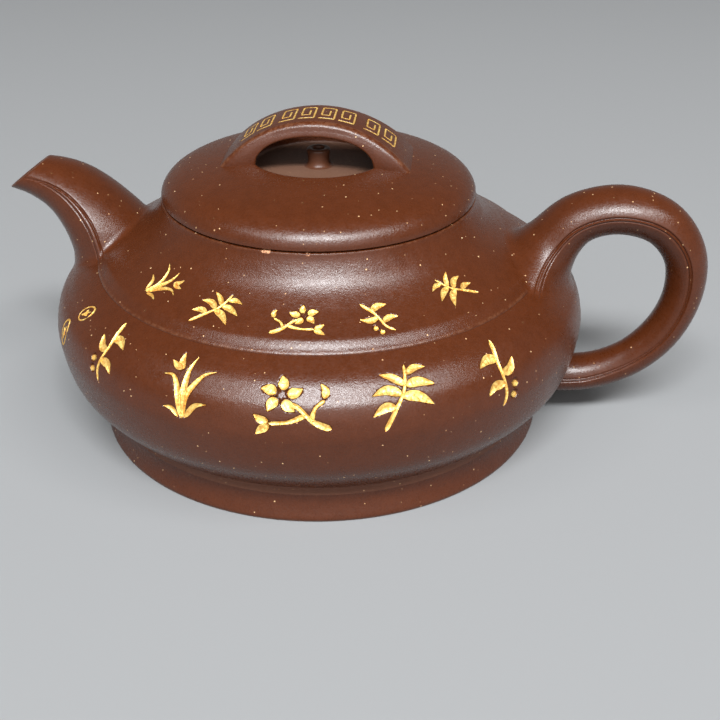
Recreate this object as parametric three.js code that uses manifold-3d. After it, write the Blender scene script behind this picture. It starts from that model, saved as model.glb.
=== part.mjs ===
// A yixing clay teapot: a flat round pot with a tall foot, a stepped shoulder, a covering lid with a
// sunken centre and a bridge knob, a short curved spout and an ear handle.
//
// Millimetres, +Z up. The pot stands on z = 0, the spout points along -X and the handle along +X.
// Everything is laid out about the pot's own axis, and the last lines move that layout so that the
// origin is the middle of the whole teapot's footprint.
//
// A yixing pot is made of separate pieces of clay, luted together with slip before it is fired. Each of
// those pieces is a mesh of its own here.
import * as THREE from 'three';
import { mergeVertices } from 'three/addons/utils/BufferGeometryUtils.js';
import Module from 'manifold-3d';

const wasm = await Module();
wasm.setup();

// ---- Driving dimensions -----------------------------------------------------------------------------

const WALL = 3.2;              // the thrown clay wall
const LUTING_GAP = 0.3;        // the slip line between a luted piece and the wall it is luted to
const ROUND_STEPS = 48;        // facets round the pot's axis

// Heights of the faces where one piece of the pot meets the next
const SLAB_BOTTOM = 6.0;
const SLAB_TOP = 8.8;
const LEDGE = 38.3;            // top of the belly, where the shoulder tier starts
const NECK = 50.0;             // top of the shoulder tier, where the mouth ring starts
const RIM = 52.7;              // the mouth's rim, on which the lid rests
const CAP_BOTTOM = 54.2;       // the lid plate's top, where the lid cap starts

const FOOT_RADIUS = 51.3;
const FOOT_INNER_RADIUS = 46.6;
const FOOT_EDGE = 0.5;         // the chamfer it stands on
const FOOT_SIDE = [50.6, 2.4]; // radius and height where its side starts to lean in
const FOOT_TAPER = 0.8;        // its inner face leans in by this much
const WAIST_RADIUS = 50.0;     // the groove between foot and belly
const BELLY_RADIUS = 59.8;
const LEDGE_RADIUS = 49.7;
const NECK_RADIUS = 35.4;
const RIM_RADIUS = 34.0;
const MOUTH_RADIUS = 30.5;     // the opening that the lid's flange drops into
const MOUTH_WAIST = [34.6, 51.4]; // radius and height half way up the mouth ring's outside
const MOUTH_SEAT = 1.5;        // how far the shoulder's top stands back from the mouth

const FLANGE_CLEARANCE = 0.4;  // between the lid's flange and the mouth
const FLANGE_DEPTH = 8.2;
const FLANGE_WALL = 2.6;
const FLANGE_EDGE = 0.6;       // the softened lower edge

const LID_RADIUS = 34.3;
const LID_PLATE_EDGE = 0.7;    // height of the small chamfer over the seam
const PIT_RADIUS = 14.7;       // the sunken centre of the lid
const PIT_LIP = 61.1;
const PIT_FLOOR = 58.5;
const CAP_WALL = 3.0;
const PIT_EDGE = 0.9;          // width of the rounded lip round the pit
const VENT_RADIUS = 1.25;
const NIPPLE_RADIUS = 2.55;
const NIPPLE_TOP = 62.4;
const NIPPLE_EDGE = 0.5;

const BRIDGE_TOP = 70.2;       // the bridge knob: outer arc, then the arch under it
const BRIDGE_HALF_SPAN = 20.3;
const BRIDGE_RISE = 10.4;
const ARCH_TOP = 67.2;
const ARCH_HALF_SPAN = 12.5;
const ARCH_RISE = 6.8;
const BRIDGE_SINK = 57.5;      // its feet are drawn down to here and cut off at the dome
const BRIDGE_HALF_WIDTH = 8.2; // at the feet
const BRIDGE_HALF_WIDTH_TOP = 6.9;

const STRAINER_HOLE_RADIUS = 1.6;
const STRAINER_PITCH = 4.6;
const STRAINER_TILT = -0.43;   // radians: the holes lean away from the pot as the spout's root does
const STRAINER_DEPTH = 16;

const LID_TURN = 2.5 * Math.PI / 180; // the lid sits turned this much from the spout-handle line

// ---- Clay colours -----------------------------------------------------------------------------------

const clay = new THREE.MeshStandardMaterial({ color: 0x603a2b, roughness: 0.55, metalness: 0 });
const matteClay = new THREE.MeshStandardMaterial({ color: 0x6a4536, roughness: 0.75, metalness: 0 });

// ---- Helpers ----------------------------------------------------------------------------------------

const point = (radius, height) => new THREE.Vector2(radius, height);

/** Points along a smooth curve through the given [radius, height] pairs. */
function smooth(pairs, steps) {
  return new THREE.SplineCurve(pairs.map(([radius, height]) => point(radius, height))).getPoints(steps);
}

/** The outline moved sideways by a distance: positive is to the right of its direction of travel. */
function offset(outline, distance) {
  return outline.map((here, i) => {
    const before = outline[Math.max(i - 1, 0)];
    const after = outline[Math.min(i + 1, outline.length - 1)];
    const along = after.clone().sub(before).normalize();
    return point(here.x + along.y * distance, here.y - along.x * distance);
  });
}

/** A solid of revolution about Z, from a closed outline that runs anticlockwise in (radius, height). */
function turned(outline, steps = ROUND_STEPS) {
  const profile = [...outline, outline[0].clone()];
  return new THREE.LatheGeometry(profile, steps).rotateX(Math.PI / 2);
}

/** A solid of revolution whose outline starts and ends on the axis. */
function turnedOnAxis(outline, steps = ROUND_STEPS) {
  const bottom = point(0, outline[0].y);
  const top = point(0, outline[outline.length - 1].y);
  return new THREE.LatheGeometry([bottom, ...outline, top], steps).rotateX(Math.PI / 2);
}

/** A round bar bent along a curve in the XZ plane. size(t) gives [half depth, half width] at t. */
function bent(curve, size, alongSteps, roundSteps) {
  const bar = new THREE.CylinderGeometry(1, 1, 1, roundSteps, alongSteps);
  const spot = bar.attributes.position;
  for (let i = 0; i < spot.count; i += 1) {
    const t = spot.getY(i) + 0.5;
    const centre = curve.getPointAt(t);
    const along = curve.getTangentAt(t);
    const [depth, width] = size(t);
    const out = spot.getX(i) * depth;
    spot.setXYZ(i, centre.x - along.z * out, spot.getZ(i) * width, centre.z + along.x * out);
  }
  return bar;
}

/** A measure along a bent bar: a smooth curve through evenly spaced values, read at t from 0 to 1. */
function track(values) {
  const curve = new THREE.SplineCurve(values.map((value, i) => new THREE.Vector2(i, value)));
  return (t) => curve.getPoint(t).y;
}

function solid(geometry) {
  const bare = geometry.clone();
  bare.deleteAttribute('normal');
  bare.deleteAttribute('uv');
  const merged = mergeVertices(bare, 1e-4);
  return new wasm.Manifold(new wasm.Mesh({
    numProp: 3,
    vertProperties: merged.attributes.position.array,
    triVerts: Uint32Array.from(merged.index.array),
  }));
}

function geometryOf(manifold) {
  const mesh = manifold.getMesh();
  const geometry = new THREE.BufferGeometry();
  geometry.setAttribute('position', new THREE.BufferAttribute(mesh.vertProperties, 3));
  geometry.setIndex(new THREE.BufferAttribute(mesh.triVerts, 1));
  return geometry;
}

function piece(name, geometry, material = clay) {
  const mesh = new THREE.Mesh(geometry, material);
  mesh.name = name;
  return mesh;
}

// ---- Outlines ---------------------------------------------------------------------------------------

const bellyOutline = smooth([
  [WAIST_RADIUS, SLAB_TOP], [54.9, 12.4], [58.2, 17.2], [BELLY_RADIUS, 24.6], [58.6, 30.6],
  [55.2, 35.6], [LEDGE_RADIUS, LEDGE],
], 14);

const shoulderOutline = smooth([
  [LEDGE_RADIUS, LEDGE], [48.2, 39.7], [45.6, 41.4], [41.9, 43.8], [38.9, 46.1], [36.7, 48.3], [NECK_RADIUS, NECK],
], 12);

const domeOutline = smooth([
  [LID_RADIUS, CAP_BOTTOM], [33.6, 55.6], [31.0, 57.5], [26.0, 59.3], [20.8, 60.4], [PIT_RADIUS + PIT_EDGE, PIT_LIP],
], 9);

const spoutLine = new THREE.CatmullRomCurve3([
  new THREE.Vector3(-45.6, 0, 31.0),
  new THREE.Vector3(-49.7, 0, 41.3),
  new THREE.Vector3(-56.7, 0, 49.5),
  new THREE.Vector3(-63.8, 0, 52.7),
  new THREE.Vector3(-73.0, 0, 53.3),
]);
const spoutDepth = track([13.3, 10.0, 7.6, 5.9, 4.3, 2.6]);
const spoutWidth = track([13.6, 12.4, 10.4, 8.2, 6.0, 4.2]);
const channelDepth = track([10.2, 7.1, 5.1, 4.1, 3.2, 2.0]);
const channelWidth = track([10.2, 9.2, 7.6, 6.0, 4.5, 3.0]);

const handleLine = new THREE.CatmullRomCurve3([
  new THREE.Vector3(45.0, 0, 34.6),
  new THREE.Vector3(50.9, 0, 42.0),
  new THREE.Vector3(56.9, 0, 48.8),
  new THREE.Vector3(65.8, 0, 51.4),
  new THREE.Vector3(75.0, 0, 48.9),
  new THREE.Vector3(80.6, 0, 42.0),
  new THREE.Vector3(81.8, 0, 33.0),
  new THREE.Vector3(78.6, 0, 23.4),
  new THREE.Vector3(72.0, 0, 15.6),
  new THREE.Vector3(62.6, 0, 11.1),
  new THREE.Vector3(51.0, 0, 10.4),
]);
const handleDepth = track([8.6, 6.4, 5.4, 5.2, 4.9, 4.5, 4.2, 4.2, 4.1, 4.2, 4.6]);
const handleWidth = track([12.4, 8.2, 6.2, 6.0, 5.6, 5.2, 4.9, 4.7, 4.6, 4.8, 5.4]);

/** The bridge seen from the side: the crescent between a wide outer arc and a smaller inner one. */
function bridgeShape() {
  const outerRadius = (BRIDGE_HALF_SPAN ** 2 + BRIDGE_RISE ** 2) / (2 * BRIDGE_RISE);
  const innerRadius = (ARCH_HALF_SPAN ** 2 + ARCH_RISE ** 2) / (2 * ARCH_RISE);
  const outerAngle = Math.asin(BRIDGE_HALF_SPAN / outerRadius);
  const innerAngle = Math.asin(ARCH_HALF_SPAN / innerRadius);
  const shape = new THREE.Shape();
  shape.moveTo(BRIDGE_HALF_SPAN, BRIDGE_SINK);
  shape.absarc(0, BRIDGE_TOP - outerRadius, outerRadius, Math.PI / 2 - outerAngle, Math.PI / 2 + outerAngle, false);
  shape.lineTo(-BRIDGE_HALF_SPAN, BRIDGE_SINK);
  shape.lineTo(-ARCH_HALF_SPAN, BRIDGE_SINK);
  shape.absarc(0, ARCH_TOP - innerRadius, innerRadius, Math.PI / 2 + innerAngle, Math.PI / 2 - innerAngle, true);
  shape.lineTo(ARCH_HALF_SPAN, BRIDGE_SINK);
  return shape;
}

/** The pot's outside, moved out by the luting gap, which luted pieces are cut back to. */
function potCutter() {
  const outline = [...bellyOutline, ...shoulderOutline.slice(1)];
  const grown = offset(outline, LUTING_GAP);
  return turnedOnAxis([point(grown[0].x, SLAB_BOTTOM), ...grown, point(grown.at(-1).x, RIM)]);
}

// ---- The pot ----------------------------------------------------------------------------------------

function baseSlab() {
  return turnedOnAxis([point(WAIST_RADIUS, SLAB_BOTTOM), point(WAIST_RADIUS, SLAB_TOP)]);
}

function footRing() {
  return turned([
    point(FOOT_INNER_RADIUS, 0),
    point(FOOT_RADIUS - FOOT_EDGE, 0),
    point(FOOT_RADIUS, FOOT_EDGE),
    point(...FOOT_SIDE),
    point(WAIST_RADIUS, SLAB_BOTTOM),
    point(FOOT_INNER_RADIUS - FOOT_TAPER, SLAB_BOTTOM),
  ]);
}

/** The strainer under the spout's root: one hole in the middle and six round it, square to the ledge. */
function strainerHoles() {
  const centres = [[0, 0]];
  for (let i = 0; i < 6; i += 1) {
    const angle = (i * Math.PI) / 3;
    centres.push([STRAINER_PITCH * Math.cos(angle), STRAINER_PITCH * Math.sin(angle)]);
  }
  return centres.map(([along, across]) => {
    const drill = new THREE.CylinderGeometry(STRAINER_HOLE_RADIUS, STRAINER_HOLE_RADIUS, STRAINER_DEPTH, 10);
    return solid(drill.rotateX(Math.PI / 2).translate(along, across, 0).rotateY(STRAINER_TILT)
      .translate(-LEDGE_RADIUS, 0, LEDGE));
  });
}

function drilled(wall) {
  return geometryOf(strainerHoles().reduce((body, hole) => body.subtract(hole), solid(wall)));
}

function bellyWall() {
  const inside = offset(bellyOutline, -WALL).slice(1, -1);
  return drilled(turned([
    ...bellyOutline,
    point(LEDGE_RADIUS - WALL, LEDGE),
    point(LEDGE_RADIUS - WALL, LEDGE - WALL + 0.4),
    ...inside.reverse().filter((spot) => spot.x > LEDGE_RADIUS - WALL + 1),
    point(WAIST_RADIUS - WALL, SLAB_TOP),
  ]));
}

function shoulder() {
  const inside = offset(shoulderOutline, -WALL).slice(1, -1);
  return drilled(turned([
    ...shoulderOutline,
    point(MOUTH_RADIUS + MOUTH_SEAT, NECK),
    ...inside.reverse().filter((spot) => spot.y > LEDGE + 1 && spot.y < NECK - MOUTH_SEAT),
    point(LEDGE_RADIUS - WALL, LEDGE),
  ]));
}

function mouthRing() {
  return turned([
    point(NECK_RADIUS, NECK),
    point(...MOUTH_WAIST),
    point(RIM_RADIUS, RIM),
    point(MOUTH_RADIUS, RIM),
    point(MOUTH_RADIUS, NECK),
  ]);
}

/** The spout's mouth is cut at a slant, facing up and away from the pot. */
function mouthCut() {
  const lowerLip = new THREE.Vector3(-71.1, 0, 50.5);
  const upperLip = new THREE.Vector3(-60.9, 0, 57.6);
  const slope = Math.atan2(upperLip.z - lowerLip.z, upperLip.x - lowerLip.x);
  const block = new THREE.BoxGeometry(60, 40, 30).translate(0, 0, 15).rotateY(-slope);
  return block.translate(lowerLip.x, 0, lowerLip.z);
}

function spout() {
  const channel = bent(spoutLine, (t) => [channelDepth(t), channelWidth(t)], 14, 14);
  return geometryOf(solid(bent(spoutLine, (t) => [spoutDepth(t), spoutWidth(t)], 16, 20))
    .subtract(solid(channel))
    .subtract(solid(mouthCut()))
    .subtract(solid(potCutter())));
}

function handle() {
  const bar = bent(handleLine, (t) => [handleDepth(t), handleWidth(t)], 40, 14);
  return geometryOf(solid(bar).subtract(solid(potCutter())));
}

// ---- The lid ----------------------------------------------------------------------------------------

function lidFlange() {
  const outer = MOUTH_RADIUS - FLANGE_CLEARANCE;
  const inner = outer - FLANGE_WALL;
  const bottom = RIM - FLANGE_DEPTH;
  return turned([
    point(inner + FLANGE_EDGE / 2, bottom),
    point(outer - FLANGE_EDGE, bottom),
    point(outer - FLANGE_EDGE / 3, bottom + FLANGE_EDGE),
    point(outer, RIM),
    point(inner, RIM),
  ]);
}

function lidPlate() {
  return turned([
    point(MOUTH_RADIUS - FLANGE_CLEARANCE - FLANGE_WALL, RIM),
    point(RIM_RADIUS, RIM),
    point(LID_RADIUS - 0.05, RIM + LID_PLATE_EDGE),
    point(LID_RADIUS, CAP_BOTTOM),
    point(MOUTH_RADIUS - FLANGE_CLEARANCE - FLANGE_WALL, CAP_BOTTOM),
  ]);
}

function lidCap() {
  const underPit = PIT_FLOOR - CAP_WALL;
  return turned([
    ...domeOutline,
    point(PIT_RADIUS, PIT_LIP - 0.4),
    point(PIT_RADIUS - 0.4, PIT_FLOOR + 0.6),
    point(PIT_RADIUS - 1.0, PIT_FLOOR),
    point(VENT_RADIUS, PIT_FLOOR),
    point(VENT_RADIUS, underPit),
    point(PIT_RADIUS + 0.5, underPit),
    point(PIT_RADIUS + 2.6, PIT_LIP - CAP_WALL - 0.6),
    point(23.0, 57.0),
    point(28.0, 55.6),
    point(30.6, CAP_BOTTOM),
  ]);
}

function ventNipple() {
  return turned([
    point(VENT_RADIUS, PIT_FLOOR),
    point(NIPPLE_RADIUS, PIT_FLOOR),
    point(NIPPLE_RADIUS, NIPPLE_TOP - NIPPLE_EDGE),
    point(NIPPLE_RADIUS - NIPPLE_EDGE, NIPPLE_TOP),
    point(VENT_RADIUS, NIPPLE_TOP),
  ], 20);
}

/** The crescent drawn out to its width, narrower at the top than at its feet. */
function bridgeBlank() {
  const blank = new THREE.ExtrudeGeometry(bridgeShape(), {
    depth: 2, steps: 1, bevelEnabled: false, curveSegments: 24,
  }).rotateX(Math.PI / 2);
  const spot = blank.attributes.position;
  for (let i = 0; i < spot.count; i += 1) {
    const height = THREE.MathUtils.smoothstep(spot.getZ(i), PIT_LIP, BRIDGE_TOP);
    const halfWidth = THREE.MathUtils.lerp(BRIDGE_HALF_WIDTH, BRIDGE_HALF_WIDTH_TOP, height);
    spot.setY(i, (spot.getY(i) + 1) * halfWidth);
  }
  return blank;
}

function lidBridge() {
  const raised = domeOutline.map((spot) => point(spot.x, spot.y + LUTING_GAP));
  const dome = turnedOnAxis([point(LID_RADIUS, RIM), ...raised]);
  return geometryOf(solid(bridgeBlank()).subtract(solid(dome)));
}

// ---- The teapot -------------------------------------------------------------------------------------

const layout = new THREE.Group();
layout.add(
  piece('base_slab', baseSlab(), matteClay),
  piece('foot_ring', footRing()),
  piece('belly_wall', bellyWall()),
  piece('shoulder', shoulder()),
  piece('mouth_ring', mouthRing()),
  piece('spout', spout()),
  piece('handle', handle()),
  piece('lid_flange', lidFlange(), matteClay),
  piece('lid_plate', lidPlate()),
  piece('lid_cap', lidCap()),
  piece('vent_nipple', ventNipple()),
  piece('lid_bridge', lidBridge()),
);
layout.getObjectByName('lid_bridge').rotation.z = LID_TURN;

const footprint = new THREE.Box3().setFromObject(layout);
layout.position.x = -(footprint.min.x + footprint.max.x) / 2;

const teapot = new THREE.Group();
teapot.add(layout);

export default teapot;
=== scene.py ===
"""A yixing clay teapot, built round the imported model: fine turned walls, a hollow spout and an ear handle
that run into the pot, a bridge knob, incised lines, and gilded sprigs cut into the clay.

Shapes are laid out in millimetres about the pot's own axis, with the spout towards -X and the handle
towards +X, and make_piece() moves them into the row's frame.
"""
import math

import bmesh
import bpy
import numpy as np
from mathutils import Matrix, Vector


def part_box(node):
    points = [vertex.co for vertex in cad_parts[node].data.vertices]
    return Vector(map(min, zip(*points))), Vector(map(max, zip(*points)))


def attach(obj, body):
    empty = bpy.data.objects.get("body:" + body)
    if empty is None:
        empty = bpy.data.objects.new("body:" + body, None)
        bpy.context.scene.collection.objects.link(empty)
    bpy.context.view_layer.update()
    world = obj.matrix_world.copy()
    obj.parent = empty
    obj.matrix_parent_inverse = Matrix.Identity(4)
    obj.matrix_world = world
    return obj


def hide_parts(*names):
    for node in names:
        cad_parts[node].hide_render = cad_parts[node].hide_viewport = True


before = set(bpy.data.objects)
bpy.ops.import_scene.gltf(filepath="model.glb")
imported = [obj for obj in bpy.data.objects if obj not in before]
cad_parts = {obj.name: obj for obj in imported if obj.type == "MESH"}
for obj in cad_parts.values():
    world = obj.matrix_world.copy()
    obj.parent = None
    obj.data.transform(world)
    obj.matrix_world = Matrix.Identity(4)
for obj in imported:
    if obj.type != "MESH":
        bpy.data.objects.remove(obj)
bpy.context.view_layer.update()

MM = 0.001
foot_low, foot_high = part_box("foot_ring")
AXIS_X = (foot_low.x + foot_high.x) / 2

# ---- Sizes, in millimetres ----


def heights(node):
    """The lowest and highest point of a CAD node."""
    low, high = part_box(node)
    return round(low.z / MM, 2), round(high.z / MM, 2)


def radius_of(node):
    low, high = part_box(node)
    return round((high.y - low.y) / 2 / MM, 2)


SLAB_BOTTOM, SLAB_TOP = heights("base_slab")
LEDGE = heights("belly_wall")[1]
NECK, RIM = heights("mouth_ring")
CAP_BOTTOM, PIT_LIP = heights("lid_cap")
PIT_FLOOR, NIPPLE_TOP = heights("vent_nipple")
BRIDGE_TOP = heights("lid_bridge")[1]
WAIST, LEDGE_RADIUS = radius_of("base_slab"), radius_of("shoulder")

WALL, CAP_WALL, VENT = 3.2, 3.0, 1.25
FOOT_INNER, WAIST_CORNER, BELLY_START = 46.6, 8.0, 4.0
NECK_RADIUS, RIM_RADIUS, PIT_RADIUS = 35.8, 34.4, 14.7
MOUTH, FLANGE_GAP, FLANGE_WALL, FLANGE_DEPTH = 30.5, 0.4, 2.6, 8.2
LID_TURN = math.radians(2.5)

FOOT = [(51.2, 0.95), (50.75, 2.3), (50.25, 4.1), (WAIST, SLAB_BOTTOM)]
BELLY = [(50.9, SLAB_TOP), (54.9, 12.4), (58.2, 17.2), (59.7, 24.4), (59.5, 28.2), (58.4, 31.5), (56.4, 33.9),
         (53.9, 36.1), (LEDGE_RADIUS, LEDGE)]
SHOULDER = [(49.66, 38.58), (49.42, 38.84), (48.85, 39.35), (48.2, 40.05), (47.5, 40.68), (46.6, 41.2),
            (45.2, 41.98), (43.6, 42.88), (41.9, 43.9), (40.35, 45.0), (39.02, 46.05), (37.97, 47.05),
            (37.11, 48.05), (36.4, 49.05), (NECK_RADIUS, NECK)]
NECK_RING = [(NECK_RADIUS, NECK), (35.25, 50.95), (34.85, 51.8), (34.62, 52.58)]
DOME = [(34.56, 53.22), (34.42, 54.2), (33.75, 55.45), (32.3, 56.85), (29.4, 58.3), (24.6, 59.6),
        (20.0, 60.5), (PIT_RADIUS + 0.9, PIT_LIP)]

# The spout and the handle are oval bars along a line. Each list is read evenly along it: half its depth
# and half its width, the place of the incised line in degrees round it, half the way between that line's
# two cuts, how deep they are, and how far the bar swells there.
SPOUT_LINE = [(-45.6, 31.0), (-49.7, 41.3), (-56.7, 49.5), (-63.8, 52.7), (-73.0, 53.3)]
SPOUT_DEPTH = [13.3, 10.0, 7.6, 5.9, 4.3, 2.6]
SPOUT_WIDTH = [13.6, 12.4, 10.4, 8.2, 6.0, 4.2]
SPOUT_SEAM = [-86.8, -91.5, -97.5, -104.5, -108.5, -110, -108, -104.5, -101]
SPOUT_SEAM_GAP = [0.1, 0.55, 0.8, 0.86, 0.74, 0.46, 0.1, 0.0, 0.0]
SPOUT_SEAM_CUT = [0.0, 0.3, 0.8, 1.0, 1.0, 0.9, 0.45, 0.0, 0.0]
SPOUT_KEEL = [0.3, 0.6, 0.9, 0.95, 0.8, 0.55, 0.3, 0.1, 0.0]
CHANNEL_DEPTH = [10.2, 7.1, 5.1, 4.1, 3.2, 2.0]
CHANNEL_WIDTH = [10.2, 9.2, 7.6, 6.0, 4.5, 3.0]
LOWER_LIP, UPPER_LIP = (-70.1, 51.25), (-61.6, 57.75)

HANDLE_LINE = [(45.0, 34.6), (50.9, 42.0), (56.9, 48.8), (65.8, 51.4), (75.0, 48.9), (80.6, 42.0),
               (81.6, 33.0), (78.6, 23.4), (72.0, 15.6), (62.6, 11.1), (51.0, 10.4)]
HANDLE_DEPTH = [8.6, 6.4, 5.4, 5.2, 4.9, 4.5, 4.2, 4.2, 4.1, 4.2, 4.6]
HANDLE_WIDTH = [12.4, 8.2, 6.2, 6.0, 5.6, 5.2, 4.9, 4.7, 4.6, 4.8, 5.4]
HANDLE_SEAM = [-101, -90, -88, -86.5, -85.5, -88.5, -90.5, -93, -98.5, -95, -93]
HANDLE_SEAM_GAP = [0.5, 0.48, 0.34, 0.3, 0.28, 0.27, 0.26, 0.26, 0.26, 0.27, 0.3]
HANDLE_SEAM_CUT = [0.9, 1.0, 1.0, 1.0, 1.0, 1.0, 0.95, 0.8, 0.75, 0.95, 1.0]
HANDLE_KEEL = [0.6, 0.9, 0.9, 0.9, 0.9, 0.8, 0.5, 0.2, 0.1, 0.2, 0.3]
ROOT_SINK, SPOUT_FILLET, HANDLE_FILLET, HANDLE_FILLET_LOW = 0.25, 1.6, 1.7, 1.0

BRIDGE_SPAN, BRIDGE_RISE, BRIDGE_ROOT = 20.9, 10.3, 58.9
BRIDGE_HALF_WIDTH, BRIDGE_HALF_WIDTH_TOP, BRIDGE_CROWN = 8.5, 7.0, 0.2
BRIDGE_EDGE, ARCH_EDGE, TOP_COLUMNS = 1.5, 0.5, 73
ARCH_TOP, ARCH_SPAN, ARCH_RISE, ARCH_POWER = 66.9, 12.6, 6.6, 2.3
CUT_DEPTH, FRET_DEPTH, FRET_HALF, FRET_REACH = 0.42, 0.22, 0.19, 2.3
FRET_PLACES = (-15.9, -11.6, -6.4, -2.1, 2.2, 6.5, 12.2, 16.5)
FRET_HOOK = [(-1.8, -3.5), (1.6, -3.5), (1.6, 3.5), (-1.2, 3.5), (-1.2, -1.6), (0.5, -1.6), (0.5, 1.7)]

# ---- Curves ----


def spline(points, count):
    """Smooth curve through evenly spaced points or numbers, in count steps."""
    p = np.asarray(points, float)
    p = p[:, None] if p.ndim == 1 else p
    last = len(p) - 1
    u = np.linspace(0, last, count + 1)
    i = np.minimum(u.astype(int), last - 1)
    w = (u - i)[:, None]
    before, a, b, after = p[np.maximum(i - 1, 0)], p[i], p[i + 1], p[np.minimum(i + 2, last)]
    va, vb = (b - before) / 2, (after - a) / 2
    return (2 * a - 2 * b + va + vb) * w**3 + (3 * b - 3 * a - 2 * va - vb) * w**2 + va * w + a


def quadratic(start, corner, end, w):
    return (1 - w) ** 2 * start + 2 * w * (1 - w) * corner + w**2 * end


def bent_corner(start, corner, end, count):
    """A rounded corner: the quadratic curve from start to end that turns at corner."""
    return quadratic(*(np.asarray(p, float) for p in (start, corner, end)), np.linspace(0, 1, count)[:, None])


def lengths(curve):
    return np.r_[0, np.cumsum(np.linalg.norm(np.diff(curve, axis=0), axis=1))]


def at_lengths(curve, wanted):
    run = lengths(curve)
    return np.stack([np.interp(wanted, run, curve[:, k]) for k in range(curve.shape[1])], -1)


def resampled(curve, count):
    return at_lengths(curve, np.linspace(0, lengths(curve)[-1], count))


def track(values):
    """Values evenly spaced from t = 0 to 1, joined smoothly."""
    fine = spline(values, 400)[:, 0]
    return lambda t: np.interp(t, np.linspace(0, 1, 401), fine)


def smoothstep(x, low, high):
    w = np.clip((x - low) / (high - low), 0, 1)
    return w * w * (3 - 2 * w)


def directions(curve):
    """The unit direction of a plane curve at each of its points."""
    along = np.gradient(curve, axis=0)
    return along / np.maximum(np.linalg.norm(along, axis=1), 1e-9)[:, None]


def left_of(along):
    return np.stack([-along[..., 1], along[..., 0]], -1)


class Centreline:
    """A centripetal curve in the XZ plane, read by its share of the length."""

    def __init__(self, points):
        p = np.asarray(points, float)
        p = np.vstack([2 * p[0] - p[1], p, 2 * p[-1] - p[-2]])
        spans = []
        for k in range(1, len(p) - 2):
            p0, p1, p2, p3 = p[k - 1:k + 3]
            d0, d1, d2 = (np.linalg.norm(b - a) ** 0.5 for a, b in ((p0, p1), (p1, p2), (p2, p3)))
            va = ((p1 - p0) / d0 - (p2 - p0) / (d0 + d1) + (p2 - p1) / d1) * d1
            vb = ((p2 - p1) / d1 - (p3 - p1) / (d1 + d2) + (p3 - p2) / d2) * d1
            w = np.linspace(0, 1, 200, endpoint=False)[:, None]
            spans.append(p1 + va * w + (3 * p2 - 3 * p1 - 2 * va - vb) * w**2
                         + (2 * p1 - 2 * p2 + va + vb) * w**3)
        self.points = np.vstack(spans + [p[-2][None]])
        run = lengths(self.points)
        self.share = run / run[-1]
        self.slope = directions(self.points)

    def read(self, table, t):
        return np.stack([np.interp(t, self.share, table[:, k]) for k in range(2)], -1)

    def at(self, t):
        return self.read(self.points, t)

    def tangent(self, t):
        v = self.read(self.slope, t)
        return v / np.linalg.norm(v, axis=-1, keepdims=True)


# ---- The pot's outline ----

belly_curve = spline(BELLY, 600)
belly_upper = belly_curve[lengths(belly_curve) > BELLY_START]
waist_curve = bent_corner((WAIST, SLAB_BOTTOM + 0.05), (WAIST, WAIST_CORNER), belly_upper[0], 32)
waist_split = int(np.argmin(np.abs(waist_curve[:, 1] - SLAB_TOP)))
belly_outside = np.vstack([waist_curve[waist_split:-1], belly_upper])
shoulder_outside = np.vstack([[(LEDGE_RADIUS, LEDGE), (LEDGE_RADIUS, LEDGE + 0.12)], spline(SHOULDER, 500)])
neck_outside = spline(NECK_RING, 60)
slab_outside = np.vstack([[(WAIST, SLAB_BOTTOM)], waist_curve[:waist_split + 1]])
foot_outside = np.vstack([bent_corner((50.6, 0.0), (51.32, 0.0), (51.24, 0.7), 8), spline(FOOT, 40)])
body_outline = np.vstack([foot_outside, slab_outside[1:], belly_outside[1:], shoulder_outside[1:],
                          neck_outside[1:], [(RIM_RADIUS, RIM)]])


def outline_distance(points):
    """How far points lie outside the pot's outline, and the nearest place and outward normal on it."""
    flat = np.stack([np.hypot(points[..., 0], points[..., 1]), points[..., 2]], -1)
    spot = flat.reshape(-1, 2)
    a, b = body_outline[:-1], body_outline[1:]
    ab = b - a
    size = np.maximum((ab**2).sum(1), 1e-12)
    best = np.full(len(spot), 1e9)
    near = np.zeros((len(spot), 2))
    which = np.zeros(len(spot), int)
    for start in range(0, len(spot), 4000):
        q = spot[start:start + 4000, None]
        w = np.clip(((q - a) * ab).sum(-1) / size, 0, 1)
        foot = a + w[..., None] * ab
        d = np.linalg.norm(q - foot, axis=-1)
        k = d.argmin(1)
        pick = np.arange(len(k))
        best[start:start + 4000], near[start:start + 4000] = d[pick, k], foot[pick, k]
        which[start:start + 4000] = k
    normal = np.stack([ab[which, 1], -ab[which, 0]], -1) / np.sqrt(size[which])[:, None]
    sign = np.where(((spot - near) * normal).sum(1) < 0, -1, 1)
    radius = np.maximum(flat[..., 0], 1e-9)
    ways = np.stack([points[..., 0] / radius, points[..., 1] / radius], -1)

    def turned_back(flat_values):
        v = flat_values.reshape(flat.shape)
        return np.concatenate([ways * v[..., :1], v[..., 1:]], -1)

    return (best * sign).reshape(flat.shape[:-1]), turned_back(near), turned_back(normal)


# ---- Meshes ----


def grid_faces(rows, columns, wrap_rows=False, start=0):
    """Faces of a sheet of points that closes round its columns, and round its rows if asked."""
    r, c = np.meshgrid(np.arange(rows if wrap_rows else rows - 1), np.arange(columns), indexing="ij")
    r2, c2 = (r + 1) % rows, (c + 1) % columns
    return start + np.stack([r * columns + c, r * columns + c2, r2 * columns + c2, r2 * columns + c],
                            -1).reshape(-1, 4)


def capped_faces(rows, columns, start=0):
    """The same for a bar: its first and its last row are closed with one face each."""
    last = start + (rows - 1) * columns
    return ([list(f) for f in grid_faces(rows, columns, start=start)]
            + [list(range(start, start + columns)), list(range(last, last + columns))])


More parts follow.
